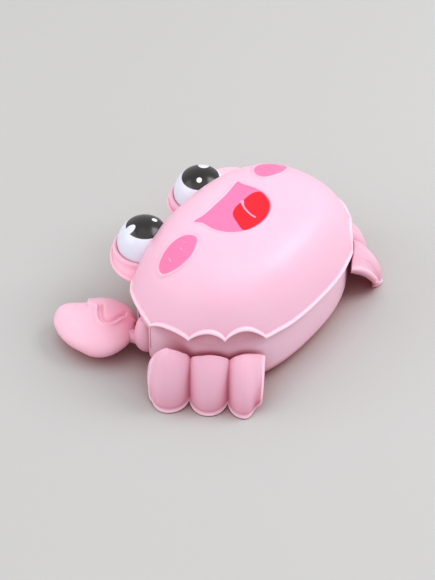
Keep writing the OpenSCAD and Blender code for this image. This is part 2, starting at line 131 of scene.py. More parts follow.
def spline(pts, closed=True, n=6):
    """Catmull-Rom through listed points."""
    p = np.array(pts, float)
    out = []
    m = len(p)
    rng = range(m if closed else m - 1)
    for i in rng:
        if closed:
            a, b, c, d = p[(i - 1) % m], p[i], p[(i + 1) % m], p[(i + 2) % m]
        else:
            a, b, c, d = p[max(i - 1, 0)], p[i], p[i + 1], p[min(i + 2, m - 1)]
        for k in range(n):
            t = k / n
            out.append(0.5 * ((2 * b) + (c - a) * t + (2 * a - 5 * b + 4 * c - d) * t * t + (3 * b - a - 3 * c + d) * t ** 3))
    if not closed:
        out.append(p[-1])
    return np.array(out)


def mesh_obj(name, verts, faces, body, smooth=True, attrs=None):
    me = bpy.data.meshes.new(name)
    me.from_pydata([tuple(v) for v in (np.asarray(verts) * MM)], [], faces)
    me.validate()
    me.update()
    if attrs:
        for k, v in attrs.items():
            at = me.attributes.new(k, "FLOAT", "POINT")
            at.data.foreach_set("value", np.asarray(v, np.float32))
    ob = bpy.data.objects.new(name, me)
    bpy.context.collection.objects.link(ob)
    bm = bmesh.new()
    bm.from_mesh(me)
    bmesh.ops.recalc_face_normals(bm, faces=bm.faces)
    bm.to_mesh(me)
    bm.free()
    me.polygons.foreach_set("use_smooth", [smooth] * len(me.polygons))
    if body:
        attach(ob, body)
    return ob


def loft(name, rings, p0, p1, body, attrs=None, smooth=True):
    """Closed rings of equal length, with a pole at each end."""
    m, n = len(rings), len(rings[0])
    V = np.concatenate([np.asarray(r) for r in rings] + [np.array([p0, p1], float)])
    F = []
    for j in range(m - 1):
        for i in range(n):
            k = (i + 1) % n
            F.append((j * n + i, j * n + k, (j + 1) * n + k, (j + 1) * n + i))
    for i in range(n):
        F.append((n * m, (i + 1) % n, i))
        F.append((n * m + 1, (m - 1) * n + i, (m - 1) * n + (i + 1) % n))
    return mesh_obj(name, V, F, body, smooth, attrs)


# ---------------------------------------------------------------- materials
def mat(name):
    m = bpy.data.materials.new(name)
    m.use_nodes = True
    nt = m.node_tree
    b = nt.nodes["Principled BSDF"]
    return m, nt, b


def soft_plastic(name, base, dark, rough=0.36, coat=0.0, sss=0.12, bump=0.02, scale=900, spec=0.5, painted_shade=(0.70, 0.16, 0.25), painted_shade_fac=0.9, span=(0.95, 0.25)):
    """Moulded vinyl: a slightly cloudy colour, fine moulded texture, light scattering under the skin, and painted
    shade mixed in by ambient occlusion.
    """
    m, nt, b = mat(name)
    tc = nt.nodes.new("ShaderNodeTexCoord")
    n1 = nt.nodes.new("ShaderNodeTexNoise")
    n1.inputs["Scale"].default_value = 28
    n1.inputs["Detail"].default_value = 4
    nt.links.new(tc.outputs["Object"], n1.inputs["Vector"])
    mix = nt.nodes.new("ShaderNodeMix")
    mix.data_type = "RGBA"
    mix.inputs["A"].default_value = (*base, 1)
    mix.inputs["B"].default_value = (*dark, 1)
    rmp = nt.nodes.new("ShaderNodeMapRange")
    rmp.inputs["From Min"].default_value = 0.35
    rmp.inputs["From Max"].default_value = 0.75
    rmp.inputs["To Max"].default_value = 0.35
    nt.links.new(n1.outputs["Fac"], rmp.inputs["Value"])
    nt.links.new(rmp.outputs["Result"], mix.inputs["Factor"])
    # painted shade: a deeper colour is mixed in where ambient occlusion finds nearby surfaces, in recesses and between
    # parts
    ao = nt.nodes.new("ShaderNodeAmbientOcclusion")
    ao.samples = 6
    ao.inputs["Distance"].default_value = 0.035
    ar = nt.nodes.new("ShaderNodeMapRange")
    ar.inputs["From Min"].default_value = span[0]
    ar.inputs["From Max"].default_value = span[1]
    ar.inputs["To Max"].default_value = painted_shade_fac
    nt.links.new(ao.outputs["AO"], ar.inputs["Value"])
    m3 = nt.nodes.new("ShaderNodeMix")
    m3.data_type = "RGBA"
    m3.inputs["B"].default_value = (*painted_shade, 1)
    nt.links.new(ar.outputs["Result"], m3.inputs["Factor"])
    nt.links.new(mix.outputs["Result"], m3.inputs["A"])
    mix = m3
    nt.links.new(mix.outputs["Result"], b.inputs["Base Color"])
    n2 = nt.nodes.new("ShaderNodeTexNoise")
    n2.inputs["Scale"].default_value = scale
    n2.inputs["Detail"].default_value = 3
    nt.links.new(tc.outputs["Object"], n2.inputs["Vector"])
    bp = nt.nodes.new("ShaderNodeBump")
    bp.inputs["Strength"].default_value = bump
    bp.inputs["Distance"].default_value = 0.0006
    nt.links.new(n2.outputs["Fac"], bp.inputs["Height"])
    nt.links.new(bp.outputs["Normal"], b.inputs["Normal"])
    rr = nt.nodes.new("ShaderNodeMapRange")
    rr.inputs["To Min"].default_value = rough - 0.04
    rr.inputs["To Max"].default_value = rough + 0.05
    nt.links.new(n1.outputs["Fac"], rr.inputs["Value"])
    nt.links.new(rr.outputs["Result"], b.inputs["Roughness"])
    b.inputs["Subsurface Weight"].default_value = sss
    b.inputs["Subsurface Radius"].default_value = (1.0, 0.28, 0.38)
    b.inputs["Subsurface Scale"].default_value = 0.006
    b.inputs["Specular IOR Level"].default_value = spec
    if coat:
        b.inputs["Coat Weight"].default_value = coat
        b.inputs["Coat Roughness"].default_value = 0.12
    return m, nt, b, mix


def masked(nt, src, attr, colour, edge=0.14):
    """Lays a colour over src where the named distance attribute is negative: print, or the painted highlight on the
    cheek dashes.
    """
    at = nt.nodes.new("ShaderNodeAttribute")
    at.attribute_name = attr
    mr = nt.nodes.new("ShaderNodeMapRange")
    mr.inputs["From Min"].default_value = edge
    mr.inputs["From Max"].default_value = -edge
    nt.links.new(at.outputs["Fac"], mr.inputs["Value"])
    mx = nt.nodes.new("ShaderNodeMix")
    mx.data_type = "RGBA"
    nt.links.new(mr.outputs["Result"], mx.inputs["Factor"])
    nt.links.new(src, mx.inputs["A"])
    mx.inputs["B"].default_value = (*colour, 1)
    return mx.outputs["Result"]


def srgb(r, g, b):
    return tuple((c / 255 / 12.92) if c / 255 <= 0.04045 else ((c / 255 + 0.055) / 1.055) ** 2.4 for c in (r, g, b))


PINK = srgb(248, 193, 217)
def tinted(nt, src, attr, colour):
    """Mixes in a colour by a weight kept on the points."""
    at = nt.nodes.new("ShaderNodeAttribute")
    at.attribute_name = attr
    mx = nt.nodes.new("ShaderNodeMix")
    mx.data_type = "RGBA"
    nt.links.new(at.outputs["Fac"], mx.inputs["Factor"])
    nt.links.new(src, mx.inputs["A"])
    mx.inputs["B"].default_value = (*colour, 1)
    return mx.outputs["Result"]


PINK_D = srgb(246, 181, 207)
TUB = srgb(252, 199, 220)
TUB_D = srgb(249, 191, 213)
LIMB = srgb(237, 186, 208)
LIMB_D = srgb(231, 176, 200)
CLAW = srgb(251, 197, 218)
CLAW_D = srgb(247, 187, 210)
HOT = srgb(252, 122, 174)
RED = srgb(232, 2, 34)
LINE = srgb(252, 160, 200)

m_shell, nt, bs, mx = soft_plastic("shell_pink", PINK, PINK_D, rough=0.4, sss=0.2, bump=0.015, spec=0.42, painted_shade_fac=0.6)
out = masked(nt, mx.outputs["Result"], "mouth", HOT)
out = masked(nt, out, "tongue", RED)
out = masked(nt, out, "tline", LINE)
out = masked(nt, out, "cheek", HOT)
# painted highlight: a lighter line along the middle of each engraved cheek dash
out = masked(nt, out, "dash", srgb(255, 214, 230))
# painted highlight: the rim bead rows are lightened where they catch the light
out = tinted(nt, out, "painted_highlight", srgb(255, 224, 238))
nt.links.new(out, bs.inputs["Base Color"])
m_body, nt2, bb, mxt = soft_plastic("tub_pink", TUB, TUB_D, rough=0.42, sss=0.25, bump=0.015, spec=0.3, painted_shade=(0.52, 0.08, 0.13), painted_shade_fac=0.95, span=(0.8, 0.22))
m_cup, _, _, _ = soft_plastic("cup_pink", TUB, TUB_D, rough=0.42, sss=0.25, bump=0.015, spec=0.3, painted_shade_fac=0.6)
# painted shade: the tub wall is coloured a deep red-pink from 37 to 48 mm up, the band that lies in shadow under the
# dome's rim and arches
tcb = nt2.nodes.new("ShaderNodeTexCoord")
sxb = nt2.nodes.new("ShaderNodeSeparateXYZ")
nt2.links.new(tcb.outputs["Object"], sxb.inputs["Vector"])
mrb = nt2.nodes.new("ShaderNodeMapRange")
mrb.inputs["From Min"].default_value = 0.037
mrb.inputs["From Max"].default_value = 0.048
mrb.inputs["To Max"].default_value = 0.5
nt2.links.new(sxb.outputs["Z"], mrb.inputs["Value"])
mxb = nt2.nodes.new("ShaderNodeMix")
mxb.data_type = "RGBA"
mxb.inputs["B"].default_value = (0.52, 0.10, 0.15, 1)
nt2.links.new(mrb.outputs["Result"], mxb.inputs["Factor"])
nt2.links.new(mxt.outputs["Result"], mxb.inputs["A"])
nt2.links.new(mxb.outputs["Result"], bb.inputs["Base Color"])
m_limb, nt3, bl, mxl = soft_plastic("limb_pink", LIMB, LIMB_D, rough=0.5, sss=0.45, bump=0.03, scale=1100, spec=0.4, painted_shade_fac=0.7)
# painted highlight: the leg plates' bottom lip and edge beads are lightened
nt3.links.new(tinted(nt3, mxl.outputs["Result"], "painted_highlight", srgb(252, 208, 225)), bl.inputs["Base Color"])

m_claw, nt4, bc, mx4 = soft_plastic("claw_pink", CLAW, CLAW_D, rough=0.5, sss=0.45, bump=0.03, scale=1100, spec=0.4, painted_shade_fac=0.42)
# painted shade: a deeper pink mixed in near the arm and along the slot
atw = nt4.nodes.new("ShaderNodeAttribute")
atw.attribute_name = "claw_shade"
mxw = nt4.nodes.new("ShaderNodeMix")
mxw.data_type = "RGBA"
nt4.links.new(atw.outputs["Fac"], mxw.inputs["Factor"])
nt4.links.new(mx4.outputs["Result"], mxw.inputs["A"])
mxw.inputs["B"].default_value = (*srgb(250, 184, 207), 1)
nt4.links.new(mxw.outputs["Result"], bc.inputs["Base Color"])

m_eye, nte, be = mat("eye_gloss")
tc = nte.nodes.new("ShaderNodeTexCoord")
ns = nte.nodes.new("ShaderNodeTexNoise")
ns.inputs["Scale"].default_value = 40
nte.links.new(tc.outputs["Object"], ns.inputs["Vector"])
mixe = nte.nodes.new("ShaderNodeMix")
mixe.data_type = "RGBA"
mixe.inputs["A"].default_value = (*srgb(230, 233, 247), 1)
mixe.inputs["B"].default_value = (*srgb(224, 227, 243), 1)
nte.links.new(ns.outputs["Fac"], mixe.inputs["Factor"])
o = masked(nte, mixe.outputs["Result"], "pupil", srgb(22, 16, 19))
o = masked(nte, o, "glint", srgb(250, 250, 252))
nte.links.new(o, be.inputs["Base Color"])
be.inputs["Roughness"].default_value = 0.24
be.inputs["Coat Weight"].default_value = 0.15
be.inputs["Coat Roughness"].default_value = 0.15
be.inputs["Subsurface Weight"].default_value = 0.05
be.inputs["Subsurface Scale"].default_value = 0.003


def hard(name, col, rough, metal=0.0, bump=0.1, scale=400, stretch=None):
    m, nt, b = mat(name)
    tc = nt.nodes.new("ShaderNodeTexCoord")
    vec = tc.outputs["Object"]
    if stretch:
        mp = nt.nodes.new("ShaderNodeMapping")
        mp.inputs["Scale"].default_value = stretch
        nt.links.new(vec, mp.inputs["Vector"])
        vec = mp.outputs["Vector"]
    n = nt.nodes.new("ShaderNodeTexNoise")
    n.inputs["Scale"].default_value = scale
    n.inputs["Detail"].default_value = 5
    nt.links.new(vec, n.inputs["Vector"])
    mx = nt.nodes.new("ShaderNodeMix")
    mx.data_type = "RGBA"
    mx.inputs["A"].default_value = (*col, 1)
    mx.inputs["B"].default_value = (*[c * 0.8 for c in col], 1)
    nt.links.new(n.outputs["Fac"], mx.inputs["Factor"])
    nt.links.new(mx.outputs["Result"], b.inputs["Base Color"])
    r = nt.nodes.new("ShaderNodeMapRange")
    r.inputs["To Min"].default_value = rough * 0.8
    r.inputs["To Max"].default_value = min(1, rough * 1.3)
    nt.links.new(n.outputs["Fac"], r.inputs["Value"])
    nt.links.new(r.outputs["Result"], b.inputs["Roughness"])
    bp = nt.nodes.new("ShaderNodeBump")
    bp.inputs["Strength"].default_value = bump
    bp.inputs["Distance"].default_value = 0.0002
    nt.links.new(n.outputs["Fac"], bp.inputs["Height"])
    nt.links.new(bp.outputs["Normal"], b.inputs["Normal"])
    b.inputs["Metallic"].default_value = metal
    return m


m_case = hard("case_plastic", (0.62, 0.62, 0.66), 0.5, scale=700)
m_gear = hard("gear_plastic", (0.86, 0.84, 0.78), 0.45, scale=900)
m_steel = hard("turned_steel", (0.55, 0.55, 0.57), 0.28, 1.0, 0.15, 300, (6, 1, 1))
m_spring = hard("spring_steel", (0.33, 0.35, 0.42), 0.25, 1.0, 0.12, 500, (1, 8, 1))
m_rubber = hard("seal_rubber", (0.03, 0.03, 0.032), 0.75, scale=1200, bump=0.2)


def give(ob, m):
    ob.data.materials.clear()
    ob.data.materials.append(m)


# ---------------------------------------------------------------- domed shell
MOUTH = spline([(25.9, -21.8), (18, -19.9), (5, -19.6), (-7.9, -19.8), (-18, -21.2), (-24.0, -21.8), (-23.4, -17.5),
                (-24.4, -9.8), (-24.6, -3.0), (-23.5, 1.8), (-19.9, 8.2), (-14.6, 12.7), (-7.3, 15.6), (0.8, 16.3),
                (9.2, 14.7), (15.2, 11.2), (20.3, 6.6), (23.6, 0.8), (25.4, -6.7), (24.7, -15.5)], True, 5)
TONGUE = spline([(14.3, 10.6), (10.7, 2.9), (6.7, -3.4), (1.4, -6.4), (-4.3, -7.2), (-8.2, -6.7), (-11.3, -6.9), (-17.4, -6.6),
                 (-21.6, -5.2), (-23.9, -2.6), (-22.8, 1.8), (-19.3, 7.8), (-14.2, 12.0), (-7.1, 14.8), (0.8, 15.5), (8.6, 14.0)], True, 5)
TLINE = spline([(-8.6, -6.9), (-5.2, -3.4), (-2.9, 0.7), (-1.2, 5.2), (-0.7, 9.6)], False, 5)
CHEEK = spline([(39.7, -9.0), (37.9, -15.6), (43.2, -21.8), (54.3, -24.6), (64.6, -22.2), (68.1, -15.4), (62.6, -7.9), (51.8, -4.9)], True, 6)
DASH = [((44.9, -17.4), (44.2, -14.2)), ((49.2, -16.9), (50.6, -13.6)), ((58.3, -19.4), (60.2, -15.8))]


def shell_attrs(P):
    x, y = P[..., 0], P[..., 1]
    mouth = sdf(MOUTH, x, y)
    tongue = np.maximum(sdf(TONGUE, x, y), mouth + 0.5)
    tline = line_d(TLINE, x, y) - (0.62 + 0.75 * np.exp(-(np.hypot(x + 8.6, y + 6.9) / 3.2) ** 2))
    cheek = np.minimum(sdf(CHEEK, x, y), sdf(CHEEK * [-1, 1], x, y))
    dash = np.minimum.reduce([line_d(d, np.abs(x), y) for d in DASH])
    up = P[..., 2] > 60
    far = 9.0
    return [np.where(up, a, far) for a in (mouth, tongue, tline, cheek, dash)]


NT = 900
th = -2 * np.pi * np.arange(NT) / NT
zl = edge_z(th) - 1.3 * scal(th)
rings, info = [], []
U = np.concatenate([np.linspace(1 - 1 / 200, 0.62, 104), np.linspace(0.615, 0.0, 56)])
outer = np.array([dome_pt(th, (zl + 3.4) + (RIM + DOME_H - zl - 3.4) * rise(u), A, B, DOME_H) for u in U])
Nn = normals(outer)
if (Nn[5].mean(0) @ np.array([0, 0, 1])) < 0:
    Nn = -Nn
mo, to, tl, ch, da = shell_attrs(outer)
g = lambda d, c, w: np.exp(-((d - c) / w) ** 2)
disp = 0.46 * g(mo, 1.0, 0.6) - 0.14 * g(mo, 2.3, 0.6) - 0.34 / (1 + np.exp(np.clip((mo + 0.1) * 6, -40, 40)))
disp += 0.62 * g(ch, 1.1, 0.62) - 0.24 * g(ch, 2.4, 0.6) + 0.1 / (1 + np.exp(np.clip((ch - 0.1) * 6, -40, 40)))
disp -= 0.8 * g(da, 0, 0.34) - 0.3 * g(da, 0.8, 0.35)
disp -= 0.16 * g(to, 0, 0.35) + 0.0 * tl
outer = outer + Nn * disp[..., None]
nr = len(outer)
prof = [(0.0, 3.25), (0.05, 3.0), (0.35, 2.85), (0.95, 2.75), (1.45, 2.4), (1.72, 1.85), (1.75, 1.2), (1.5, 0.6), (1.05, 0.2), (0.45, 0.0), (-0.5, -0.1), (-WALL, 0)]
bead = np.array([dome_pt(th, zl + q[1], A, B, DOME_H, q[0]) for q in prof])
inner = np.array([dome_pt(th, zl + (RIM + DOME_H - WALL - zl) * rise(u), A - WALL, B - WALL, DOME_H - WALL) for u in np.linspace(0.04, 1 - 1 / 40, 34)])
allr = np.concatenate([outer, bead, inner])
far_v = np.full(len(bead) * NT + len(inner) * NT + 2, 9.0)
attrs = {}
for k, v in dict(mouth=mo, tongue=to, tline=tl, cheek=ch, dash=da - 0.3).items():
    a = np.concatenate([v.ravel(), far_v])
    attrs[k] = a
# painted highlight: weights that lighten the rim bead rows across their profile
painted_highlight = np.zeros(len(allr) * NT + 2)
pw = np.array([0, 0.1, 0.3, 0.55, 0.7, 0.7, 0.7, 0.6, 0.5, 0.3, 0.1, 0.0])
painted_highlight[nr * NT:(nr + len(bead)) * NT] = np.repeat(pw, NT)
attrs["painted_highlight"] = painted_highlight
top = np.array([0, OY + 3.3, RIM + DOME_H - 0.3])
at_top = dict(mouth=-9, tongue=-3, tline=2.0, cheek=9)
for k in at_top:
    attrs[k][-2] = attrs[k][:NT].mean()
shell = loft("shell_top", list(allr), top, [0, OY + 3.3, RIM + DOME_H - WALL], "shell", attrs)
give(shell, m_shell)

# eye cups: lip, hollow flank and rim bead turned round each eye, merged into the dome
EYE = np.array([32.3, -59.3, 56.9])
RB = np.array([(-180, 24.2), (-150, 24.0), (-120, 23.9), (-88, 24.0), (-61.6, 23.7), (-37.3, 24.8), (-19.7, 26.7), (-5.9, 28.4), (7.8, 29.9), (19.3, 31.3),
               (32, 31.0), (50, 26.0), (80, 20), (120, 18), (150, 21), (180, 24.2)])


def cup(side):
    n = 160
    ph = np.linspace(-np.pi, np.pi, n, endpoint=False)
    rb = np.interp(np.degrees(ph), RB[:, 0], RB[:, 1])
    k = np.exp(-np.linspace(-3, 3, 13) ** 2 / 3)
    rb = np.convolve(np.concatenate([rb[-6:], rb, rb[:6]]), k / k.sum(), "valid")
    prof = [(17.3, 47.9, 0), (18.75, 52.6, 0), (19.22, 54.6, 0), (19.75, 55.35, 0), (20.9, 55.6, 0), (21.9, 54.9, 0), (22.4, 53.8, 0.0), (22.5, 52.6, 0.02),
            (22.45, 51.6, 0.08), (22.5, 50.7, 0.2), (22.6, 49.9, 0.42), (22.6, 49.45, 0.7), (22.6, 49.3, 0.9)]
    R = []
    for r, z, w in prof:
        rr = r * (1 - w) + (rb - 1.7) * w
        R.append((rr, z))
    for dr, z in [(-1.45, 49.45), (-1.0, 49.5), (-0.35, 49.2), (0.1, 48.5), (0.2, 47.8), (0.05, 47.1), (-0.5, 46.6), (-1.3, 46.4), (-3.0, 46.35)]:
        R.append((rb + dr, z))
    rings = [np.stack([side * (EYE[0] + r * np.cos(ph)), EYE[1] + r * np.sin(ph), 0 * ph + z], -1) for r, z in R]
    # close underneath as a thin floor
    for r in (14.0, 5.0):
        rings.append(np.stack([side * (EYE[0] + r * np.cos(ph)), EYE[1] + r * np.sin(ph), 0 * ph + 46.35], -1))
    for r in (5.0, 14.0):
        rings.append(np.stack([side * (EYE[0] + r * np.cos(ph)), EYE[1] + r * np.sin(ph), 0 * ph + 47.6], -1))
    m = len(rings)
    V = np.concatenate(rings)
    F = []
    for j in range(m):
        jj = (j + 1) % m
        for i in range(n):
            q = (i + 1) % n
            F.append((j * n + i, j * n + q, jj * n + q, jj * n + i))
    ob = mesh_obj("eye_cup_" + ("left" if side > 0 else "right"), V, F, "shell")
    give(ob, m_cup)
    return ob


cups = [cup(1), cup(-1)]
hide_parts("upper_shell")


# ---------------------------------------------------------------- eyes
def eyeball(side):
    n, m = 160, 110
    u = 2 * np.pi * np.arange(n) / n
    v = np.linspace(0, 1, m)[1:]
    vmax = math.acos((48.05 - EYE[2]) / 19.2)
    rings = []
    for t in v:
        a = t * vmax
        rings.append(np.stack([np.sin(a) * np.cos(u), np.sin(a) * np.sin(u), 0 * u + np.cos(a)], -1))
    D = np.array(rings)
    x, y = D[..., 0] * 1.0, D[..., 1]
    pup = np.where(D[..., 2] > 0, np.hypot(x + 0.03, y * 1.0) - 0.685, 1.0)
    px_, py_ = (x - 0.50, y + 0.29) if side > 0 else (x - 0.44, y + 0.20)
    c_, s_ = math.cos(math.radians(-30)), math.sin(math.radians(-30))
    lx, ly = px_ * c_ + py_ * s_, -px_ * s_ + py_ * c_
    notch = np.where(D[..., 2] > 0, np.hypot(lx / 1.35, ly) - (0.165 if side > 0 else 0.2), 1.0)
    pupil = np.maximum(pup, -notch)
    gl = np.where(D[..., 2] > 0, np.hypot(x + 0.35, y - 0.185) - 0.095, 1.0)
    R = D * 19.2
    R[..., 0] *= side
    P = R + EYE * [side, 1, 1]
    bottom = P[-1].copy()
    inn = (P[-1] - EYE * [side, 1, 1]) * [0.9, 0.9, 1] + EYE * [side, 1, 1]
    rr = [*P, inn]
    at = {"pupil": np.concatenate([pupil.ravel() * 19.2, np.full(n, 9.0), [-9.0, 9.0]]),
          "glint": np.concatenate([gl.ravel() * 19.2, np.full(n, 9.0), [3.0, 9.0]])}
    ob = loft("eye_ball_" + ("left" if side > 0 else "right"), rr, EYE * [side, 1, 1] + [0, 0, 19.2],
              EYE * [side, 1, 0] + [0, 0, 48.05], "shell", at)
    give(ob, m_eye)
    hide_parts("eye_left" if side > 0 else "eye_right")
    return ob


eyes = [eyeball(1), eyeball(-1)]

# ---------------------------------------------------------------- leg plates
LB = np.array([-56, -26.7, -0.7, 23.0])
SM, SH = (LB[0] + LB[3]) / 2, (LB[3] - LB[0]) / 2
LEG_O, LEG_T, LOBE = 85.0, 3.0, 10.0
EO = np.array([math.cos(math.radians(30.4)), math.sin(math.radians(30.4)), 0])
ES = np.array([-EO[1], EO[0], 0])


def bump(s):
    i = np.where(s < LB[1], 0, np.where(s < LB[2], 1, 2))
    c, h = (LB[i] + LB[i + 1]) / 2, (LB[i + 1] - LB[i]) / 2
    b = np.maximum(0, 1 - np.abs((s - c) / h) ** 2) ** 0.65
    u = np.clip((s - 11.15) / 7.35, 0, 1)
    return np.where(s > 11.15, 1 - 0.66 * u ** 2.4, b), i


def z_top(s):
    b, i = bump(s)
    lo = np.where(s < -41, 26, 34.4)
    hi = np.array([45.2, 41.6, 38.6])[i]
    z = np.where(s > 11.15, 38.6 - 4.6 * (np.maximum(0, s - 11.15) / 11.85) ** 1.5, lo + (hi - lo) * b ** 0.7)
    return z + np.interp(s, [-42, -39, -31.7, -27, -24, -19, -14, -0.7, 3.3, 8.2, 14.9, 20, 23], [0, -1.0, -1.5, 0, -0.5, -1.0, 0, 0.4, 1.5, 1.4, -0.4, -1.6, -2.6])


def inner_o(s):
    return np.where(s < -4, LEG_O, LEG_O - 12.5 * (np.maximum(0, s + 4) / 27) ** 1.25)


def end_f(s):
    return np.where(s > SM, 1, np.maximum(0, 1 - np.abs((s - SM) / SH) ** 10) ** 0.5)


def belly(w):
    return np.maximum(0, 1 - np.abs(w) ** 1.9) ** 0.62


def depth(s, v):
    b, _ = bump(s)
    return (LEG_O - inner_o(s)) * belly(v) + end_f(s) * (7.5 * belly(v) + (-0.8 + (LOBE + 2) * b) * belly(v * 0.985) * (1 - 0.12 * (1 - v) ** 6))


def rake(s, z):
    return s + np.where(s < -41, (-41 - s) / 15 * (0.0062 * (z - 14) ** 2), np.where(s > 11, -(s - 11) / 12 * 0.0035 * (z - 20) ** 2, 0))


def leg(side):
    NS, NV = 260, 84
    i = np.linspace(0, 1, NS + 1)
    S = SM - SH * np.cos(np.pi * i)
    S = 0.55 * S + 0.45 * (LB[0] + (LB[3] - LB[0]) * i)
    V = 1 - (1 - np.linspace(0, 1, NV + 1)) ** 1.6
    V = V[0] + (V - V[0]) * (0.75 + 0.25 * np.linspace(0, 1, NV + 1))
    s2, v2 = np.meshgrid(S, V)
    d = depth(s2, v2)
    z = z_top(s2) * v2
    # the bottom lifts between the lobes
    b2, _ = bump(s2)
    foot = 3.6 * (1 - b2) ** 1.5 * (1 - v2) ** 2 * np.clip((s2 - LB[0]) / 6, 0, 1) + (8.5 * np.clip((s2 - 17) / 6, 0, 1) ** 1.8 + 3.2 * np.clip((-47 - s2) / 9, 0, 1) ** 2) * (1 - v2) ** 3
    z = z + foot
    G = lambda q, c, w: np.exp(-((q - c) / w) ** 2)
    zz = z - foot[0:1, :]
    top = np.clip((1 - v2) * 9, 0, 1)
    lip = 1.35 * G(zz, 1.2, 1.0) - 0.7 * G(zz, 3.5, 0.9)
    rear = 1.0 * G(s2, 22.1, 0.75) - 0.35 * G(s2, 20.2, 0.9) + 0.3 * G(s2, 18.4, 0.6) - 0.2 * G(s2, 17.2, 0.6)
    front = 1.1 * G(s2, -54.3, 0.8) - 0.7 * G(s2, -52.0, 0.9)
    d = np.where(d > 2, np.maximum(d + np.where(zz < 5, lip, 0) + rear * top + front * top, 0.5), d)
    oc = inner_o(s2)
    O = (oc + d)[..., None] * EO + rake(s2, z)[..., None] * ES
    O[..., 2] = z
    q = np.where(s2 > SM, s2, SM + (s2 - SM) * (1 - LEG_T / SH))
    d0 = depth(s2, v2)
    dd = np.where(d0 < 2 * LEG_T, d0 / 2, d0 - LEG_T)
    dd[:, 0] *= 0.001
    dd[-1, :] = 0
    zi = (z_top(s2) - LEG_T * np.clip(v2 * 2, 0, 1)) * v2 + foot * (1 - v2)
    I = (oc + dd)[..., None] * EO + rake(q, zi)[..., None] * ES
    I[..., 2] = zi
    W, H = NS + 1, NV + 1
    M = W * H
    P = np.concatenate([O.reshape(-1, 3), I.reshape(-1, 3)])
    P[:, 0] *= side
    F = []
    for j in range(NV):
        for k in range(NS):
            a = j * W + k
            F.append((a, a + 1, a + W + 1, a + W))
            F.append((M + a, M + a + W, M + a + W + 1, M + a + 1))
    for k in range(NS):
        F.append((M + k, M + k + 1, k + 1, k))
        F.append((NV * W + k, NV * W + k + 1, M + NV * W + k + 1, M + NV * W + k))
    for j in range(NV):
        F.append((j * W, (j + 1) * W, M + (j + 1) * W, M + j * W))
        F.append((j * W + NS, M + j * W + NS, M + (j + 1) * W + NS, (j + 1) * W + NS))
    nm = "left" if side > 0 else "right"
    # painted highlight: lightens the bottom lip and the front and rear edge beads of the plate
    painted_highlight = np.maximum(1 / (1 + np.exp(np.clip((zz - 2.2) * 3, -40, 40))), np.maximum(G(s2, 22.1, 0.9), G(s2, -54.3, 0.9)) * 0.8) * (d > 1)
    ob = mesh_obj("leg_plate_" + nm, P, F, "leg_l" if side > 0 else "leg_r", True, {"painted_highlight": np.concatenate([painted_highlight.ravel(), 0 * painted_highlight.ravel()])})
    give(ob, m_limb)
    # the two hollow bosses that ride on the crank pins
    for tag, y, x0, x1 in (("rear", 31.0, 69.0, 88.6), ("front", 9.0, 78.0, 98.0)):
        n = 48
        u = 2 * np.pi * np.arange(n) / n
        R = []
        for r, x in [(2.26, x1 - 1), (2.26, x0 + 0.4), (2.6, x0), (4.6, x0), (5.0, x0 + 0.4), (5.0, x1)]:
            R.append(np.stack([side * (x + 0 * u), y + r * np.cos(u), 22 + r * np.sin(u)], -1))
        b = loft("leg_boss_%s_%s" % (tag, nm), R, [side * (x1 - 1), y, 22], [side * x1, y, 22], "leg_l" if side > 0 else "leg_r")
        give(b, m_limb)
    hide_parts("leg_left" if side > 0 else "leg_right")
    return ob


legs = [leg(1), leg(-1)]

# ---------------------------------------------------------------- claws
CLAW_C, CLAW_H = np.array([84.3, -62.5, 14.6]), math.radians(4)
VR, VU = np.array([-0.5915, 0.8063, 0]), np.array([-0.5602, -0.4110, 0.7192])
EDGE = spline([(-29.6, 4.7), (-28.9, 8.8), (-27.2, 12.3), (-24.4, 14.7), (-21.0, 16.1), (-16.2, 16.6), (-11.4, 16.6), (-7.6, 16.9), (-6.9, 18.8), (-5.6, 19.7),
               (-2.0, 20.0), (2.4, 20.2), (7.9, 19.8), (13.4, 18.5), (18.9, 15.7), (23.0, 12.3), (25.8, 8.2), (27.1, 3.3), (27.0, -1.5), (25.6, -6.0),
               (23.7, -9.6), (20.3, -13.4), (14.8, -17.3), (9.3, -19.7), (3.8, -20.7), (-3.1, -20.0), (-9.3, -17.3), (-16.2, -13.8), (-21.7, -9.7), (-26.5, -4.2), (-29.2, 1.3)], True, 6)
THUMB = spline([(-11.4, 17.2), (-7.2, 16.9), (-3.1, 16.6), (0.1, 15.7), (1.5, 13.8), (1.3, 10.2), (2.4, 6.1), (5.1, 3.3), (9.3, 2.5), (13.4, 3.3), (16.8, 5.9),
                (20.4, 6.9), (24.0, 6.3), (29.5, 4.4), (38, 12), (28, 30), (0, 36), (-11, 28)], True, 5)
SLOT = spline([(4.2, 15.4), (4.6, 10.9), (5.5, 7.2), (8.4, 5.3), (12.4, 5.6), (16.4, 8.2), (20.0, 9.4)], False, 6)


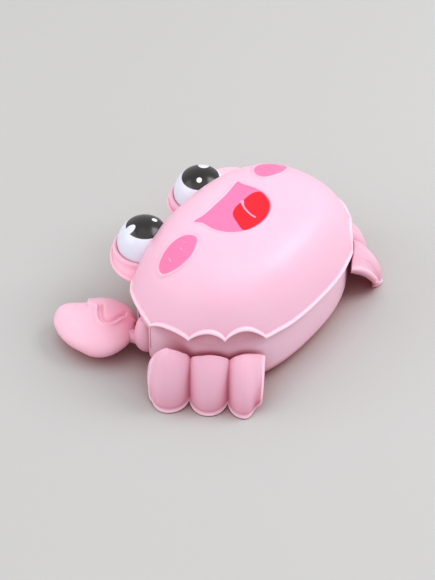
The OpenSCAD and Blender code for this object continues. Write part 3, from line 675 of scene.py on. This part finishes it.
def claw(side):
    n, m = 420, 300
    u = 2 * np.pi * np.arange(n) / n
    v = np.pi / 2 - np.pi * (np.arange(1, m) / m)
    uu, vv = np.meshgrid(u, v)
    D = np.stack([np.cos(vv) * np.cos(uu), np.cos(vv) * np.sin(uu), np.sin(vv)], -1)
    P = D * [25, 30, 12.5]
    c, s = math.cos(CLAW_H), math.sin(CLAW_H)
    Q = np.stack([P[..., 0] * c - P[..., 1] * s, P[..., 0] * s + P[..., 1] * c, P[..., 2]], -1)
    # shape the outline seen from the front quarter
    h, w = Q @ VR, Q @ VU
    H_, W_ = [], []
    a_ = np.linspace(-np.pi, np.pi, 721)
    ell = np.array([np.max(np.cos(t) * h[::6, ::6] + np.sin(t) * w[::6, ::6]) for t in a_[::8]])
    # support function to radius of the outline ellipse
    M2 = np.array([[c, -s, 0], [s, c, 0], [0, 0, 1]]) @ np.diag([25, 30, 12.5])
    K = np.array([VR, VU]) @ M2
    KI = np.linalg.inv(K @ K.T)
    ang = np.arctan2(w, h)
    cs = np.stack([np.cos(ang), np.sin(ang)], -1)
    re = 1 / np.sqrt(np.einsum("...i,ij,...j", cs, KI, cs))
    ea, er = np.arctan2(EDGE[:, 1], EDGE[:, 0]), np.hypot(EDGE[:, 0], EDGE[:, 1])
    o = np.argsort(ea)
    rt = np.interp(ang, np.concatenate([ea[o][-3:] - 2 * np.pi, ea[o], ea[o][:3] + 2 * np.pi]), np.concatenate([er[o][-3:], er[o], er[o][:3]]))
    rho = np.hypot(h, w) / re
    k = (rt / re - 1) * rho ** 3
    Q = Q + k[..., None] * (h[..., None] * VR + w[..., None] * VU)
    n_ = normals(Q)
    if (n_ * D).sum() < 0:
        n_ = -n_
    h, w = Q @ VR, Q @ VU
    sd = sdf(THUMB, h, w)
    front = np.clip((n_ @ np.array([0.58, 0.4254, 0.6948])) * 4 + 0.4, 0, 1)
    sl = line_d(SLOT, h, w)
    # the raised lip of the big pincer, the slot behind it and the thumb
    fade = np.clip((h + 14) / 10, 0, 1)
    dz = 1.25 * np.exp(-((sd - 0.8) / 0.75) ** 2) * fade - 0.35 * np.exp(-((sd - 3.0) / 1.3) ** 2) * fade
    dz = dz - 0.9 / (1 + np.exp(np.clip(sd * 3, -40, 40))) * np.exp(-((sd + 0.6) / 2.6) ** 2) * fade
    dz = dz - 1.5 * np.exp(-(sl / 0.95) ** 2)
    Q = Q + n_ * (dz * front)[..., None] + CLAW_C
    S = np.array([74.5, -25.0])
    d2 = Q[..., :2] - S
    r = np.linalg.norm(d2, axis=-1)
    Q[..., :2] += d2 / np.maximum(1e-6, r)[..., None] * np.maximum(0, 10.1 - r)[..., None]
    Q[..., 2] = np.maximum(Q[..., 2], 0.6)
    # painted shade: weight for the deeper pink on the front-facing side near the arm and along the slot
    claw_shade = np.clip((h - 2) / 22, 0, 1) * np.clip((w + 10) / 16, 0, 1) * front + 0.3 * np.exp(-(sl / 1.1) ** 2) * front
    Q[..., 0] *= side
    body = "arm_l" if side > 0 else "arm_r"
    ob = loft("claw_" + ("soft_left" if side > 0 else "soft_right"), list(Q), Q[0].mean(0), Q[-1].mean(0), body,
              {"claw_shade": np.concatenate([claw_shade.ravel(), [0, 0]])})
    give(ob, m_claw)
    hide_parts("claw_left" if side > 0 else "claw_right")
    return ob


claws = [claw(1), claw(-1)]


# ---------------------------------------------------------------- arms
def arm(side):
    n = 120
    u = 2 * np.pi * np.arange(n) / n
    pr = spline([(0.6, 10.25), (3.4, 10.3), (5.8, 10.95), (7.7, 12.4), (9.0, 15), (9.55, 18.5), (9.5, 23), (8.9, 27.5), (7.7, 32), (6.2, 35.2), (4.8, 37.0), (3.02, 37.4)], False, 4)
    pr = np.concatenate([pr, [(3.0, 37.6), (3.0, 47.0), (2.8, 47.2)]])
    rings = [np.stack([side * (74.5 + r * np.cos(u)), -25 + r * np.sin(u), 0 * u + z], -1) for r, z in pr]
    body = "arm_l" if side > 0 else "arm_r"
    nm = "left" if side > 0 else "right"
    ob = loft("arm_barrel_" + nm, rings, [side * 74.5, -25, 10.2], [side * 74.5, -25, 47.2], body)
    give(ob, m_limb)
    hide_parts("arm_" + nm)
    t = math.atan2(CLAW_C[1] + 25, CLAW_C[0] - 74.5)
    ax, ay = np.array([math.cos(t), math.sin(t), 0]), np.array([-math.sin(t), math.cos(t), 0])
    R = []
    for d, r in [(3, 4.4), (5, 5.0), (8, 5.0), (10, 4.75), (12, 4.8), (14, 5.0), (22, 5.0), (24, 4.6)]:
        p = np.array([74.5, -25, 16]) + d * ax + r * (np.cos(u)[:, None] * ay + np.sin(u)[:, None] * np.array([0, 0, 1]))
        p[:, 0] *= side
        R.append(p)
    nk = loft("arm_neck_" + nm, R, R[0].mean(0), R[-1].mean(0), body)
    give(nk, m_limb)


arm(1)
arm(-1)


# ---------------------------------------------------------------- tub skin
def boolean_cut(ob, cutters):
    for c in cutters:
        md = ob.modifiers.new("cut", "BOOLEAN")
        md.operation = "DIFFERENCE"
        md.object = c
        md.solver = "EXACT"
    bpy.context.view_layer.update()
    dg = bpy.context.evaluated_depsgraph_get()
    me = bpy.data.meshes.new_from_object(ob.evaluated_get(dg))
    ob.modifiers.clear()
    ob.data = me
    for c in cutters:
        bpy.data.objects.remove(c)


def rod(p0, p1, r, n=64):
    p0, p1 = np.array(p0, float), np.array(p1, float)
    ax = (p1 - p0) / np.linalg.norm(p1 - p0)
    a = np.cross(ax, [0, 0, 1] if abs(ax[2]) < 0.5 else [1, 0, 0])
    a /= np.linalg.norm(a)
    b = np.cross(ax, a)
    u = 2 * np.pi * np.arange(n) / n
    R = [p + r * (np.cos(u)[:, None] * a + np.sin(u)[:, None] * b) for p in (p0, p1)]
    V = np.concatenate(R)
    F = [(i, (i + 1) % n, n + (i + 1) % n, n + i) for i in range(n)] + [tuple(range(n))[::-1], tuple(range(n, 2 * n))]
    return mesh_obj("cutter", V, F, None, False)


def tub():
    n = 360
    t = -2 * np.pi * np.arange(n) / n
    ez = edge_z(t)
    front = np.degrees(t)
    fo = front - 360 * np.round(front / 360)
    fo = np.where(fo > 90, 180 - fo, np.where(fo < -90, -180 - fo, fo))
    lip = np.where(fo < -43, 46.3, np.maximum(48.3, ez + 2.3))
    TA, TB, TR, TZ = 85.0, 59.1, 12.0, 2.5

    def ring(z, ins, zz=None):
        ex, ey = sep(t)
        return np.stack([(TA - ins) * ex, OY + (TB - ins) * ey, 0 * t + z], -1)

    def neck(f, off):
        z = 43 + (lip - 43) * f
        p = dome_pt(t, np.maximum(z, RIM), A - WALL, B - WALL, DOME_H - WALL)
        q = ring(z, 0)
        # below the rim the plain wall, above it just inside the dome
        ex, ey = sep(t)
        w = np.clip((z - 44.5) / 3.0, 0, 1)[:, None]
        w = w * w * (3 - 2 * w)
        inn = p.copy()
        inn[:, 2] = z
        inn[:, :2] -= 0.45 * np.stack([ex, ey], -1)
        inn[:, :2] = np.where(np.hypot(*inn[:, :2].T)[:, None] < np.hypot(*q[:, :2].T)[:, None], inn[:, :2], q[:, :2])
        o = q * (1 - w) + inn * w
        o[:, 2] = z
        o[:, :2] -= off * np.stack([ex, ey], -1)
        return o

    out, inn = [], []
    for k in range(0, 25):
        q = math.radians(90 * k / 24)
        out.append(ring(TZ + TR * (1 - math.cos(q)), TR * (1 - math.sin(q)) - 0.03))
        inn.append(ring(TZ + 0.7 + (TR - 0.7) * (1 - math.cos(q)), 0.7 + (TR - 0.7) * (1 - math.sin(q))))
    for z in (32, 38, 43):
        out.append(ring(z, -0.03))
        inn.append(ring(z, 0.7))
    for f in np.linspace(0.1, 1, 14):
        out.append(neck(f, -0.03))
        inn.append(neck(f, 0.7))
    for R in (out, inn):
        for r in (0.98, 0.8, 0.6, 0.4, 0.2):
            b = R[0].copy() if r == 0.98 else R[0].copy()
            base = (R[[i for i in range(len(R))][0]] if r == 0.98 else base0)
            if r == 0.98:
                base0 = R[0].copy()
            c = np.array([0, OY, 0])
            nb = (base0 - c) * [r, r, 1] + c
            R.insert(0, nb)
    rings = out + inn[::-1]
    ob = loft("tub_skin", rings, out[0].mean(0), inn[0].mean(0), None)
    cs = []
    for sd in (1, -1):
        cs.append(rod([sd * 58, 34, 22], [sd * 99, 34, 22], 9.5))
        cs.append(rod([sd * 58, 12, 22], [sd * 99, 12, 22], 9.5))
        cs.append(rod([sd * 74.5, -25, 8.6], [sd * 74.5, -25, 37.9], 10.0))
        na = math.atan2(CLAW_C[1] + 25, CLAW_C[0] - 74.5) - math.radians(1)
        cs.append(rod([sd * 74.5, -25, 16], [sd * (74.5 + 24 * math.cos(na)), -25 + 24 * math.sin(na), 16], 5.8))
    boolean_cut(ob, cs)
    me = ob.data
    me.polygons.foreach_set("use_smooth", [True] * len(me.polygons))
    me.set_sharp_from_angle(angle=math.radians(35))
    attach(ob, "shell")
    give(ob, m_body)
    return ob


tub()

# ---------------------------------------------------------------- carried CAD nodes
look = {"lower_shell": m_body, "gear_case": m_case, "gear_cover": m_case,
        "mainspring": m_spring, "case_screws": m_steel, "shell_screws": m_steel, "seal_left": m_rubber, "seal_right": m_rubber,
        "cross_shaft": m_steel, "output_pinion": m_gear, "crank_left": m_gear, "crank_right": m_gear, "compound_gear": m_gear,
        "compound_axle": m_steel, "great_gear": m_gear, "spring_arbor": m_steel, "idler_left": m_gear, "idler_right": m_gear,
        "idler_clip_left": m_steel, "idler_clip_right": m_steel, "arm_clip_left": m_steel, "arm_clip_right": m_steel}
for name, m in look.items():
    give(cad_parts[name], m)

# ---------------------------------------------------------------- floor, light, camera
floor = bpy.data.objects.new("floor", bpy.data.meshes.new("floor"))
floor.data.from_pydata([(-6, -6, 0), (6, -6, 0), (6, 6, 0), (-6, 6, 0)], [], [(0, 1, 2, 3)])
bpy.context.collection.objects.link(floor)
m_floor, ntf, bf = mat("floor_paper")
tcf = ntf.nodes.new("ShaderNodeTexCoord")
nf = ntf.nodes.new("ShaderNodeTexNoise")
nf.inputs["Scale"].default_value = 3
ntf.links.new(tcf.outputs["Object"], nf.inputs["Vector"])
mxf = ntf.nodes.new("ShaderNodeMix")
mxf.data_type = "RGBA"
mxf.inputs["A"].default_value = (0.515, 0.515, 0.513, 1)
mxf.inputs["B"].default_value = (0.505, 0.505, 0.503, 1)
ntf.links.new(nf.outputs["Fac"], mxf.inputs["Factor"])
# painted shadow: the floor is mixed towards a dark red where ambient occlusion finds the crab, standing in for contact
# shadow and pink bounce light
aof = ntf.nodes.new("ShaderNodeAmbientOcclusion")
aof.samples = 8
aof.inputs["Distance"].default_value = 0.05
arf = ntf.nodes.new("ShaderNodeMapRange")
arf.inputs["From Min"].default_value = 0.7
arf.inputs["From Max"].default_value = 0.12
arf.inputs["To Max"].default_value = 0.8
ntf.links.new(aof.outputs["AO"], arf.inputs["Value"])
mf3 = ntf.nodes.new("ShaderNodeMix")
mf3.data_type = "RGBA"
mf3.inputs["B"].default_value = (0.36, 0.10, 0.11, 1)
ntf.links.new(arf.outputs["Result"], mf3.inputs["Factor"])
ntf.links.new(mxf.outputs["Result"], mf3.inputs["A"])
ntf.links.new(mf3.outputs["Result"], bf.inputs["Base Color"])
bf.inputs["Roughness"].default_value = 0.9
bf.inputs["Specular IOR Level"].default_value = 0.1
give(floor, m_floor)

scene = bpy.context.scene
scene.view_settings.view_transform = "Standard"
w = bpy.data.worlds.new("studio")
scene.world = w
w.use_nodes = True
w.node_tree.nodes["Background"].inputs["Color"].default_value = (1.0, 0.99, 0.985, 1)
w.node_tree.nodes["Background"].inputs["Strength"].default_value = 0.78


def area(name, direction, dist, size, power, at=(0, 0, 0.05)):
    L = bpy.data.lights.new(name, "AREA")
    L.shape = "RECTANGLE"
    L.size, L.size_y = size
    L.energy = power
    o = bpy.data.objects.new(name, L)
    d = Vector(direction).normalized()
    o.location = Vector(at) + d * dist
    o.rotation_euler = d.to_track_quat("Z", "Y").to_euler()
    bpy.context.collection.objects.link(o)
    return o


area("key", (-0.50, 0.457, 0.734), 1.6, (0.9, 0.9), 13)
area("top", (0.3, 0.1, 1.0), 1.9, (1.8, 1.8), 5)
area("fill", (0.75, -0.75, 0.62), 1.7, (1.3, 1.3), 7.5)

AZ, EL = math.radians(126.26), math.radians(44.01)
right = Vector((math.cos(AZ), math.sin(AZ), 0))
back = Vector((math.sin(AZ) * math.cos(EL), -math.cos(AZ) * math.cos(EL), math.sin(EL)))
up = back.cross(right)
cam = bpy.data.objects.new("camera", bpy.data.cameras.new("camera"))
loc = (-17.1 * right + 14.3 * up + 1628.03 * back) * MM
cam.matrix_world = Matrix(((right.x, up.x, back.x, loc.x), (right.y, up.y, back.y, loc.y), (right.z, up.z, back.z, loc.z), (0, 0, 0, 1)))
cam.data.lens = 144.07
cam.data.sensor_width = 36
cam.data.clip_start = 0.1
cam.data.clip_end = 30
bpy.context.collection.objects.link(cam)
scene.camera = cam
